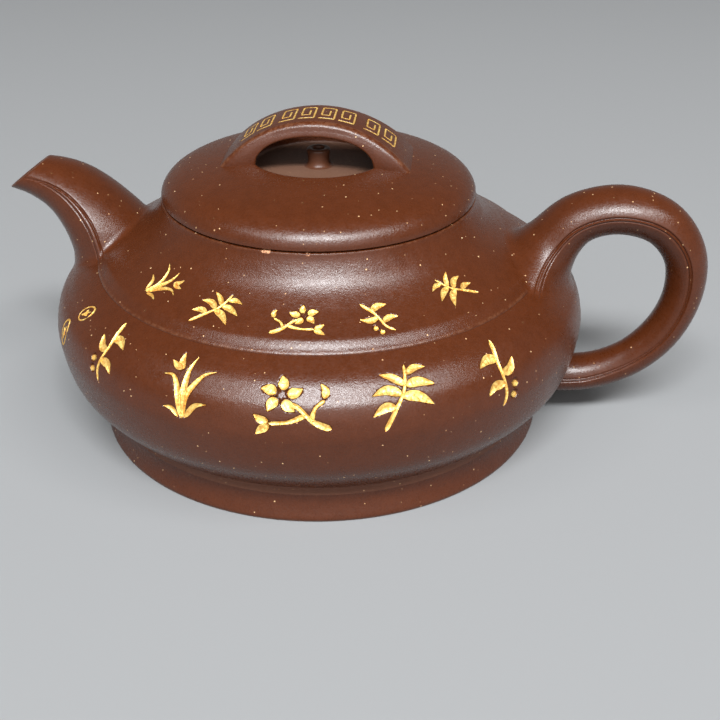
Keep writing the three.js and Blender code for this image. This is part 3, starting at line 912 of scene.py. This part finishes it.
def build_lid_rings():
    outer = MOUTH - FLANGE_GAP
    inner = outer - FLANGE_WALL
    bottom = RIM - FLANGE_DEPTH
    inner_edge = bent_corner((inner + 0.9, bottom), (inner, bottom), (inner, bottom + 0.9), 6)[::-1]
    outer_edge = bent_corner((outer - 0.9, bottom), (outer - 0.05, bottom), (outer - 0.05, bottom + 0.9), 7)
    flange = np.vstack([inner_edge, outer_edge, [(outer, bottom + 4.0), (outer, RIM), (inner, RIM),
                                                 (inner, bottom + 4.0)]])
    ring_piece("lid_flange", flange, "lid_seat", "raw_clay")
    edge = bent_corner((33.7, RIM + 0.02), (34.02, RIM + 0.02), (34.12, RIM + 0.15), 8)
    side = bent_corner(edge[-1], (34.42, RIM + 0.35), DOME[0], 6)
    plate = np.vstack([[(inner, RIM + 0.03), (31.0, RIM + 0.03)], edge, side[1:],
                       [(31.0, CAP_BOTTOM), (inner, CAP_BOTTOM)]])
    ring_piece("lid_plate", plate, "lid", "clay")


def build_lid_cap():
    dome = paced(spline(DOME, 200), 0.7)
    lip = bent_corner(dome[-1], (PIT_RADIUS + 0.02, PIT_LIP + 0.06), (PIT_RADIUS, PIT_LIP - 0.9), 9)[1:]
    wall = PIT_RADIUS - 0.1
    floor = bent_corner((wall, PIT_FLOOR + 0.9), (wall, PIT_FLOOR), (PIT_RADIUS - 1.0, PIT_FLOOR), 8)
    under = PIT_FLOOR - CAP_WALL
    inside = [(10.0, PIT_FLOOR), (6.0, PIT_FLOOR), (VENT, PIT_FLOOR), (VENT, under), (8.0, under),
              (PIT_RADIUS + 0.5, under), (PIT_RADIUS + 2.6, PIT_LIP - CAP_WALL - 0.6), (23.0, 57.0),
              (28.0, 55.6), (30.6, CAP_BOTTOM), (31.2, CAP_BOTTOM - 0.02)]
    outline = np.vstack([dome, lip, floor, inside])
    # The pit floor and the lid's underside get the pale dusty mark. On the pit floor part of that paleness is
    # painted sheen.
    pit = (outline[:, 0] < PIT_RADIUS - 0.2) & (outline[:, 1] < PIT_FLOOR + 0.5)
    inner = np.arange(len(outline)) > len(dome)
    under_side = inner & (outline[:, 1] < 58.3) & (outline[:, 0] < 31)
    ring_piece("lid_cap", outline, "lid", "clay",
               marks={"matte": np.where(pit | under_side, 1.0, 0.0),
                      "wear": near_mark(outline, (14.8, 60.9), 0.4) * 0.1})


def build_nipple():
    foot = bent_corner((3.3, PIT_FLOOR + 0.02), (2.5, PIT_FLOOR + 0.02), (2.36, PIT_FLOOR + 1.1), 8)
    waist = bent_corner(foot[-1], (2.3, 60.6), (2.52, 61.4), 6)[1:]
    top = bent_corner((2.6, 61.75), (2.66, NIPPLE_TOP), (1.85, NIPPLE_TOP), 8)
    mouth = bent_corner((1.75, NIPPLE_TOP), (VENT, 62.35), (VENT, 61.9), 6)
    outline = np.vstack([foot, waist, top, mouth, [(VENT, PIT_FLOOR - 0.2), (3.3, PIT_FLOOR - 0.2)]])
    ring_piece("vent_nipple", outline, "lid", "clay", even_angles(64), {"matte": np.full(len(outline), 0.3)})


def bridge_half_width(z):
    narrower = BRIDGE_HALF_WIDTH_TOP - BRIDGE_HALF_WIDTH
    return BRIDGE_HALF_WIDTH + narrower * smoothstep(z, PIT_LIP, BRIDGE_TOP)


def bridge_arcs(count):
    """The bridge from the side: its outer and inner line, each carried on down into the lid."""
    radius = (BRIDGE_SPAN**2 + BRIDGE_RISE**2) / (2 * BRIDGE_RISE)
    reach = math.asin(BRIDGE_SPAN / radius)
    a = np.linspace(-reach, reach, count)
    outer = np.stack([radius * np.sin(a), BRIDGE_TOP - radius + radius * np.cos(a)], -1)
    a = np.linspace(-math.pi / 2, math.pi / 2, 4 * count)
    power = 2 / ARCH_POWER
    oval = np.stack([np.sign(a) * ARCH_SPAN * np.abs(np.sin(a)) ** power,
                     ARCH_TOP - ARCH_RISE + ARCH_RISE * np.cos(a).clip(0, 1) ** power], -1)
    inner = resampled(oval, count)
    lines = []
    for arc, way in ((outer, np.array([-math.cos(reach), -math.sin(reach)])), (inner, np.array([0.0, -1.0]))):
        down = np.linspace(arc[0, 1] - 0.5, BRIDGE_ROOT, 4)[::-1]
        left = np.array([arc[0] + way * (arc[0, 1] - z) / max(-way[1], 0.3) for z in down])
        lines.append(np.vstack([left, arc, (left * (-1, 1))[::-1]]))
    return lines


def fret_motifs():
    """A plain key-fret band over the top of the bridge, in three groups."""
    def bar(start, end):
        line = resampled(np.array([start, end]), 24)
        to_end = np.minimum(np.arange(24), 23 - np.arange(24))
        return line, np.full(24, FRET_HALF) * np.minimum(1, to_end * 0.4 + 0.4)

    return [{"at": at, "strokes": [bar(a, b) for a, b in zip(FRET_HOOK[:-1], FRET_HOOK[1:])]}
            for at in FRET_PLACES]


def bridge_top(outer, up, half, motifs):
    """The crowned upper face of the bridge, with the fret cut into it."""
    run = lengths(outer)
    across = np.linspace(-1, 1, TOP_COLUMNS)
    y = across[None] * half[:, None]
    depth = np.zeros(y.shape)
    for m in motifs:
        x = np.repeat((run - run[-1] / 2 - m["at"])[:, None], y.shape[1], 1)
        near = (np.abs(x) < FRET_REACH) & (np.abs(y) < FRET_REACH + 4)
        inside_by = stroke_depth(np.stack([x[near], y[near]], -1), m["strokes"])
        depth[near] = np.maximum(depth[near], FRET_DEPTH * smoothstep(inside_by, -0.04, 0.06))
    lift = BRIDGE_CROWN * (1 - across**2)[None] - depth - BRIDGE_CROWN
    return np.stack([outer[:, :1] + up[:, :1] * lift, y, outer[:, 1:] + up[:, 1:] * lift], -1)


def bridge_side(outer, inner, half_out, half_in, sign):
    """One face of the bridge with its two rounded edges, as a list of lines from the top edge down."""
    thick = np.linalg.norm(inner - outer, axis=1)
    inward = (inner - outer) / thick[:, None]

    def at(y, base, toward):
        spot = base + inward * np.reshape(toward, (-1, 1))
        return np.stack([spot[:, 0], sign * y, spot[:, 1]], -1)

    turns = np.radians([18, 36, 54, 72, 90])
    first = BRIDGE_CROWN + BRIDGE_EDGE
    flat = thick - first - ARCH_EDGE
    lines = [at(half_out - BRIDGE_EDGE * (1 - math.sin(a)), outer, first - BRIDGE_EDGE * math.cos(a))
             for a in turns]
    for share in (0.25, 0.5, 0.75):
        plump = 0.035 * flat * math.sin(share * math.pi)
        lines.append(at(half_out * (1 - share) + half_in * share + plump, outer, first + flat * share))
    lines += [at(half_in - ARCH_EDGE * (1 - math.sin(a)), inner, -ARCH_EDGE * (1 - math.cos(a)))
              for a in turns[::-1]]
    return lines + [at(half_in - ARCH_EDGE, inner, 0.0)]


def clear_of_pit(ring):
    """The bridge's feet moved outwards, so that they come down on the lid's dome beside the pit."""
    x, y, z = np.moveaxis(ring, -1, 0)
    clear = np.sqrt(np.maximum((PIT_RADIUS + 0.15)**2 - y**2, 0))
    wanted = np.sign(x) * np.maximum(np.abs(x), np.minimum(clear, np.abs(x) + 2.6))
    pull = 1 - smoothstep(z, PIT_LIP - 0.3, PIT_LIP + 2.4)
    return np.stack([x + (wanted - x) * pull, y, z], -1)


def build_bridge():
    outer, inner = bridge_arcs(241)
    up = left_of(directions(outer))
    half_out, half_in = bridge_half_width(outer[:, 1]), bridge_half_width(inner[:, 1]) - 0.05
    half = half_out - BRIDGE_EDGE
    motifs = fret_motifs()
    top = bridge_top(outer, up, half, motifs)
    back, front = (np.stack(bridge_side(outer, inner, half_out, half_in, sign), 1) for sign in (1, -1))
    under = np.stack([np.stack([inner[:, 0], share * (half_in - ARCH_EDGE), inner[:, 1]], -1)
                      for share in np.linspace(1, -1, 25)[1:-1]], 1)
    ring = clear_of_pit(np.concatenate([top, back, under, front[:, ::-1]], 1))
    wear = np.zeros(ring.shape[:2])
    for edge in (slice(1), slice(TOP_COLUMNS - 1, TOP_COLUMNS + 3), slice(-3, None)):
        wear[:, edge] = 0.1
    c, s = math.cos(LID_TURN), math.sin(LID_TURN)
    turn = np.array([[c, s, 0], [-s, c, 0], [0, 0, 1]])
    make_piece("lid_bridge", ring @ turn, capped_faces(*ring.shape[:2]), "lid", "clay", marks={"wear": wear})
    run = lengths(outer)

    def place(m, x, y, height):
        here = run[-1] / 2 + m["at"] + x
        ox, oz, ux, uz, half_here = (np.interp(here, run, v) for v in (*outer.T, *up.T, half))
        crown = BRIDGE_CROWN * (1 - np.clip(y / half_here, -1, 1)**2) - BRIDGE_CROWN
        rise = crown + np.maximum(height, -CUT_DEPTH) * 0.6
        return np.stack([ox + ux * rise, y, oz + uz * rise], -1) @ turn

    gold, faces = ribbons(motifs, place)
    make_piece("gilding_bridge", gold, faces, "lid", "gilding", sharp=50)


build_lid_rings()
build_lid_cap()
build_nipple()
build_bridge()

# ---- Floor, light and camera ----


def build_floor():
    bpy.ops.mesh.primitive_plane_add(size=4.4, location=(0, 0, 0))
    floor = bpy.context.object
    floor.name = "floor"
    n = Nodes("pale_floor")
    n.set(n.shader.inputs["Base Color"], (0.245, 0.248, 0.252, 1))
    n.set(n.shader.inputs["Roughness"], 0.9)
    floor.data.materials.append(n.material)


def build_world():
    """A pale room that is brighter towards the horizon than overhead."""
    world = bpy.data.worlds.new("studio")
    bpy.context.scene.world = world
    world.use_nodes = True
    tree = world.node_tree
    place = tree.nodes.new("ShaderNodeTexCoord")
    parts = tree.nodes.new("ShaderNodeSeparateXYZ")
    fade = tree.nodes.new("ShaderNodeMapRange")
    tree.links.new(place.outputs["Generated"], parts.inputs[0])
    tree.links.new(parts.outputs["Z"], fade.inputs[0])
    for socket, value in (("From Min", 0.0), ("From Max", 0.7), ("To Min", 0.3), ("To Max", 0.09)):
        fade.inputs[socket].default_value = value
    tree.links.new(fade.outputs[0], tree.nodes["Background"].inputs["Strength"])
    tree.nodes["Background"].inputs["Color"].default_value = (1.0, 0.985, 0.97, 1)


def softbox(name, azimuth, elevation, distance, wide, high, power, colour=(1, 1, 1)):
    """A soft light: azimuth is from the camera's side towards the handle, in degrees."""
    a, e = math.radians(azimuth), math.radians(elevation)
    target = Vector((AXIS_X, 0, 0.035))
    way = Vector((math.sin(a) * math.cos(e), -math.cos(a) * math.cos(e), math.sin(e)))
    lamp = bpy.data.lights.new(name, "AREA")
    lamp.shape, lamp.size, lamp.size_y = "RECTANGLE", wide, high
    lamp.energy, lamp.color = power, colour
    holder = bpy.data.objects.new(name, lamp)
    holder.location = target + way * distance
    holder.rotation_euler = (-way).to_track_quat("-Z", "Y").to_euler()
    holder.visible_camera = False
    bpy.context.scene.collection.objects.link(holder)


def build_camera():
    """The photo's view: from in front, a little to the handle's side, and 30 degrees above."""
    lens = bpy.data.cameras.new("camera")
    lens.lens, lens.sensor_width, lens.clip_start = 55.7, 36.0, 0.01
    camera = bpy.data.objects.new("camera", lens)
    place = Matrix.Translation((AXIS_X + 0.0385, -0.2301, 0.1426))
    turn = Matrix.Rotation(math.radians(7.26), 4, "Z") @ Matrix.Rotation(math.radians(60.206), 4, "X")
    camera.matrix_world = place @ turn @ Matrix.Rotation(0.002, 4, "Z")
    bpy.context.scene.collection.objects.link(camera)
    bpy.context.scene.camera = camera


build_floor()
build_world()
softbox("key", 7.5, 52, 1.8, 1.0, 0.3, 52, (0.95, 0.98, 1.0))
softbox("glow_left", -34, 50, 2.0, 1.24, 0.3, 10)
softbox("glow_right", 50, 50, 2.0, 1.24, 0.28, 21)
softbox("low_fill", 12, 24, 2.0, 2.8, 1.4, 17)
build_camera()
bpy.context.scene.view_settings.view_transform = "Standard"
